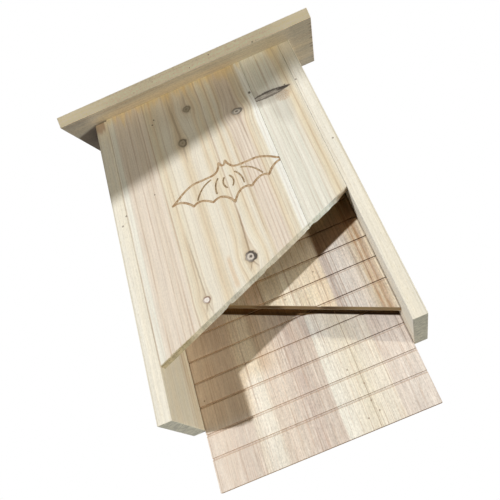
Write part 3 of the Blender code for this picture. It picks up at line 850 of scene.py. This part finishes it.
# The routed bat: a plain spread-winged bat, drawn as its right half in millimetres from its middle.
# The last arcs are the strokes inside the wing
BAT_MIDDLE = (3.2, 222.0)
OUTLINE_WIDTH = 2.9
OUTLINE_DEPTH = 1.0
STROKE_WIDTH = 2.1
STROKE_DEPTH = 1.1
WING_TOP = (
    (0, 24.2), (1.8, 25.2), (3.9, 29.4), (5.6, 24.6), (9.4, 18.8), (15.5, 16.4), (27, 16.0), (39.0, 15.6),
    (50.0, 11.0), (59.0, 4.6), (67.0, -1.0),
)
WING_ARCS = (
    ((67.0, -1.0), (55.0, 3.0), (44.5, -12.4)),
    ((44.5, -12.4), (36.0, -5.0), (22.8, -17.4)),
    ((22.8, -17.4), (9.5, -9.0), (0.0, -28.2)),
    ((18.6, 11.6), (31.0, 8.4), (38.4, -6.6)),
    ((10.4, 9.6), (16.8, 2.6), (16.2, -8.6)),
    ((3.4, 7.4), (8.4, 0.6), (3.6, -6.6)),
)
INNER_STROKES = 3

# The bars that rout it: how many sides they have, and the balls at their ends, which are a little
# larger and turned, so that no two faces lie in each other
ROUT_SIDES = 12
BALL_SIZE = 1.01
BALL_TURN = 0.3


def arc(points, steps):
    """A curve that leaves the first point towards the second and ends at the third."""
    start, bend, end = points
    shares = [i / steps for i in range(steps + 1)]
    return [start * (1 - t) ** 2 + bend * (2 * t * (1 - t)) + end * t ** 2 for t in shares]


def through(points, steps):
    """A smooth line through points in a plane."""
    ends = [2 * points[0] - points[1]] + list(points) + [2 * points[-1] - points[-2]]
    curve = []
    for a, b, c, d in zip(ends, ends[1:], ends[2:], ends[3:]):
        for i in range(steps):
            t = i / steps
            curve.append(0.5 * (2 * b + (c - a) * t + (2 * a - 5 * b + 4 * c - d) * t * t
                                + (3 * b - a - 3 * c + d) * t ** 3))
    return curve + [points[-1]]


def bat_strokes():
    """Every routed line of the bat as points on the front, both halves, with its width and depth and
    its finish: 0 for the outline, 1 for the strokes inside the wings."""
    half = [through([Vector(p) for p in WING_TOP[:3]], 3), through([Vector(p) for p in WING_TOP[2:]], 5)]
    half += [arc([Vector(p) for p in points], 12) for points in WING_ARCS]
    middle = Vector(BAT_MIDDLE)
    strokes = []
    for i, curve in enumerate(half):
        inner = i >= len(half) - INNER_STROKES
        size = (STROKE_WIDTH, STROKE_DEPTH, 1) if inner else (OUTLINE_WIDTH, OUTLINE_DEPTH, 0)
        for side in (-1, 1):
            strokes.append(([(middle + Vector((side * p.x, p.y))) * MM for p in curve], *size))
    return strokes


def rout_cutter(face_y, finishes):
    """Round bars along the strokes, with balls at their ends, that rout the bat out of the front."""
    bm = bmesh.new()
    for stroke, width, depth, kind in bat_strokes():
        half, depth = width * MM / 2, depth * MM
        radius = (half ** 2 + depth ** 2) / (2 * depth)
        centre_y = face_y + depth - radius
        before = len(bm.faces)
        rings = []
        for i, point in enumerate(stroke):
            ahead = (stroke[min(i + 1, len(stroke) - 1)] - stroke[max(i - 1, 0)]).normalized()
            side = Vector((-ahead.y, ahead.x))
            ring = []
            for k in range(ROUT_SIDES):
                turn = 2 * math.pi * k / ROUT_SIDES
                out = point + side * (radius * math.cos(turn))
                ring.append(bm.verts.new((out.x, centre_y + radius * math.sin(turn), out.y)))
            rings.append(ring)
        bm.faces.new(rings[0])
        bm.faces.new(rings[-1])
        for near, far in zip(rings, rings[1:]):
            for k in range(ROUT_SIDES):
                j = (k + 1) % ROUT_SIDES
                bm.faces.new((near[k], near[j], far[j], far[k]))
        for point in (stroke[0], stroke[-1]):
            ball = Matrix.Translation((point.x, centre_y, point.y)) @ Matrix.Rotation(BALL_TURN, 4, "Y")
            bmesh.ops.create_icosphere(bm, subdivisions=2, radius=radius * BALL_SIZE, matrix=ball)
        bm.faces.ensure_lookup_table()
        for face in bm.faces[before:]:
            face.material_index = kind
    return put("rout_cutter", finished_mesh("rout_cutter", bm, finishes))


def rout(board, cutter):
    """Cut the bat into the board and drop the cutter."""
    modifier = board.modifiers.new("routed bat", "BOOLEAN")
    modifier.operation = "DIFFERENCE"
    modifier.solver = "EXACT"
    modifier.use_self = True
    modifier.material_mode = "TRANSFER"
    modifier.object = cutter
    graph = bpy.context.evaluated_depsgraph_get()
    routed = bpy.data.meshes.new_from_object(board.evaluated_get(graph))
    board.modifiers.remove(modifier)
    board.data = routed
    bpy.data.objects.remove(cutter)


def dress_front():
    """The two front planks: the bat is routed into the wide one."""
    fir = front_finish("front_fir")
    scorched = [
        routed_finish("routed_outline", (168, 138, 104), (200, 178, 148)),
        routed_finish("routed_strokes", (166, 142, 112), (198, 178, 148)),
    ]
    wide = plank("wide_plank", "front_wide_plank", [fir])
    rout(wide, rout_cutter(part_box("front_wide_plank")[0].y, scorched))
    plank("narrow_plank", "front_narrow_plank", [fir])


def dress_boards():
    """Finishes for the CAD solids that keep their shape."""
    finishes = {
        "left_side_board": side_finish("left_side_fir", -1, LEFT_SPECKS),
        "right_side_board": side_finish("right_side_fir", 1, RIGHT_SPECKS),
        "roof_board": roof_finish("roof_fir"),
        "partition_panel": panel_finish("partition_ply", "partition_panel", PARTITION_BANDS, 31.0, 1.9,
                                        PARTITION_DOTS, "front_wide_plank", PARTITION_PAINTED_SHADE),
        "back_panel": panel_finish("back_ply", "back_panel", BACK_BANDS, 37.0, 1.6,
                                   BACK_DOTS, "partition_panel", BACK_PAINTED_SHADE),
    }
    zinc = zinc_finish("zinc_nail")
    for name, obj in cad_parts.items():
        finish = zinc if "_nail_" in name else finishes.get(name)
        if finish:
            obj.data.materials.clear()
            obj.data.materials.append(finish)


# Lamps: which way the rays travel, the strength, the width in degrees and the colour
LAMPS = {
    "key": ((0.664, 1.0, -0.13), 2.33, 2.2, (0.98, 0.985, 1.0)),
    "right": ((-1.36, 1.0, 0.68), 1.33, 3.2, (1.0, 0.94, 0.78)),
    "low_right": ((-1.36, 1.0, 2.00), 0.45, 15.0, (1.0, 0.97, 0.88)),
    "below": ((-0.2, 0.15, 1.0), 0.20, 60.0, (1.0, 0.98, 0.92)),
    "top": ((0.10, -0.45, -1.0), 2.1, 30.0, (1.0, 1.0, 1.0)),
    "rear": ((-0.5, -1.0, -0.35), 1.5, 20.0, (1.0, 1.0, 1.0)),
    "rear_fill": ((0.9, -1.0, 0.1), 0.8, 40.0, (1.0, 1.0, 1.0)),
}

# The world's own weak light on the object, and the floor under it
AMBIENT = 0.06
AMBIENT_TINT = (1.0, 0.90, 0.72, 1.0)
FLOOR_HEIGHT = -0.50
FLOOR_SIZE = 8.0
FLOOR_TINT = (0.82, 0.82, 0.81, 1.0)
FLOOR_GLOW = 0.35

# A card outside the view shades the top of the front from the key. These are points, in millimetres,
# of the middle of its soft shadow edge on the front face, each with how far off the card is there
CARD_SHADOW = (
    (-260, 224, 450), (-135, 260, 450), (-105, 268, 450), (-80, 275, 450), (-52, 283, 450), (0, 296, 450),
    (30, 306, 450), (53, 313, 480), (85, 318, 750), (123, 331, 950), (260, 372, 1100),
)
CARD_HEIGHT = 420.0


def lamp(name, travel, strength, width, tint):
    """A far lamp, whose rays all travel one way."""
    light = bpy.data.lights.new(name, "SUN")
    light.energy = strength
    light.angle = math.radians(width)
    light.color = tint
    put(name, light).rotation_euler = Vector(travel).to_track_quat("-Z", "Y").to_euler()


def shadow_card():
    """The card that shades the top of the front. Only the shadow rays see it."""
    travel = LAMPS["key"][0]
    points = []
    for x, z, distance in CARD_SHADOW:
        back_x, back_z = (travel[i] / travel[1] * distance for i in (0, 2))
        for rise in (0, CARD_HEIGHT):
            points.append(Vector((x - back_x, FRONT_FACE - distance, z - back_z + rise)) * MM)
    faces = [(i, i + 2, i + 3, i + 1) for i in range(0, len(points) - 2, 2)]
    mesh = bpy.data.meshes.new("shadow_card")
    mesh.from_pydata(points, [], faces)
    card = put("shadow_card", mesh)
    for ray in ("camera", "diffuse", "glossy", "transmission"):
        setattr(card, "visible_" + ray, False)


def seen_straight(tree):
    """1 for camera, glossy and transmission rays."""
    seen = tree.node("ShaderNodeLightPath", output="Is Camera Ray")
    for ray in ("Is Glossy Ray", "Is Transmission Ray"):
        seen = seen.math("MAXIMUM", seen, tree.node("ShaderNodeLightPath", output=ray))
    return seen


def backdrop():
    """A world that looks white and lights the object only weakly."""
    world = bpy.data.worlds.new("studio")
    bpy.context.scene.world = world
    world.use_nodes = True
    tree = Tree(world.node_tree)
    dim = tree.nodes["Background"]
    tree.feed(dim, "Color", AMBIENT_TINT)
    tree.feed(dim, "Strength", AMBIENT)
    white = tree.node("ShaderNodeBackground", {}, {"Color": (1.0, 1.0, 1.0, 1.0)})
    shaders = {0: seen_straight(tree), 1: Link(tree, dim.outputs[0]), 2: white}
    tree.feed(tree.nodes["World Output"], "Surface", tree.node("ShaderNodeMixShader", {}, shaders))


def floor():
    """A pale floor that keeps the object's shadow and reflects little light on to it."""
    finish = Finish("pale_floor", 0.9, 0.5)
    finish.feed(finish.shader, "Base Color", FLOOR_TINT)
    glow = finish.node("ShaderNodeEmission", {}, {"Strength": FLOOR_GLOW})
    shaders = {0: Link(finish, finish.shader.outputs[0]), 1: glow}
    pale = finish.node("ShaderNodeAddShader", {}, shaders)
    dull = finish.node("ShaderNodeBsdfDiffuse", {}, {"Color": (0.05, 0.05, 0.05, 1.0)})
    mixed = finish.node("ShaderNodeMixShader", {}, {0: seen_straight(finish), 1: dull, 2: pale})
    finish.feed(finish.nodes["Material Output"], "Surface", mixed)
    bpy.ops.mesh.primitive_plane_add(size=FLOOR_SIZE, location=(0, 0, FLOOR_HEIGHT))
    sheet = bpy.context.object
    sheet.name = "floor"
    sheet.data.materials.append(finish.material)
    sheet.visible_shadow = False


# The camera: where it is, the directions to its right, up and back, and its lens in millimetres
CAMERA_PLACE = (0.06484, -0.52885, -0.13031)
CAMERA_RIGHT = (0.919157, 0.209874, -0.333322)
CAMERA_UP = (0.392571, -0.418862, 0.818806)
CAMERA_BACK = (0.03223, -0.883463, -0.467391)
CAMERA_LENS = 36.787
CAMERA_SHIFT = (-0.1046, 0.0056)


def camera():
    """The camera at the photo's viewing angle."""
    data = bpy.data.cameras.new("camera")
    data.sensor_width = 36.0
    data.lens = CAMERA_LENS
    data.shift_x, data.shift_y = CAMERA_SHIFT
    data.clip_start = 0.01
    axes = Matrix((CAMERA_RIGHT, CAMERA_UP, CAMERA_BACK)).transposed().to_4x4()
    obj = put("camera", data)
    obj.matrix_world = Matrix.Translation(CAMERA_PLACE) @ axes
    bpy.context.scene.camera = obj


bpy.context.scene.view_settings.view_transform = "Standard"
dress_front()
dress_boards()
backdrop()
floor()
for lamp_name, settings in LAMPS.items():
    lamp(lamp_name, *settings)
shadow_card()
camera()
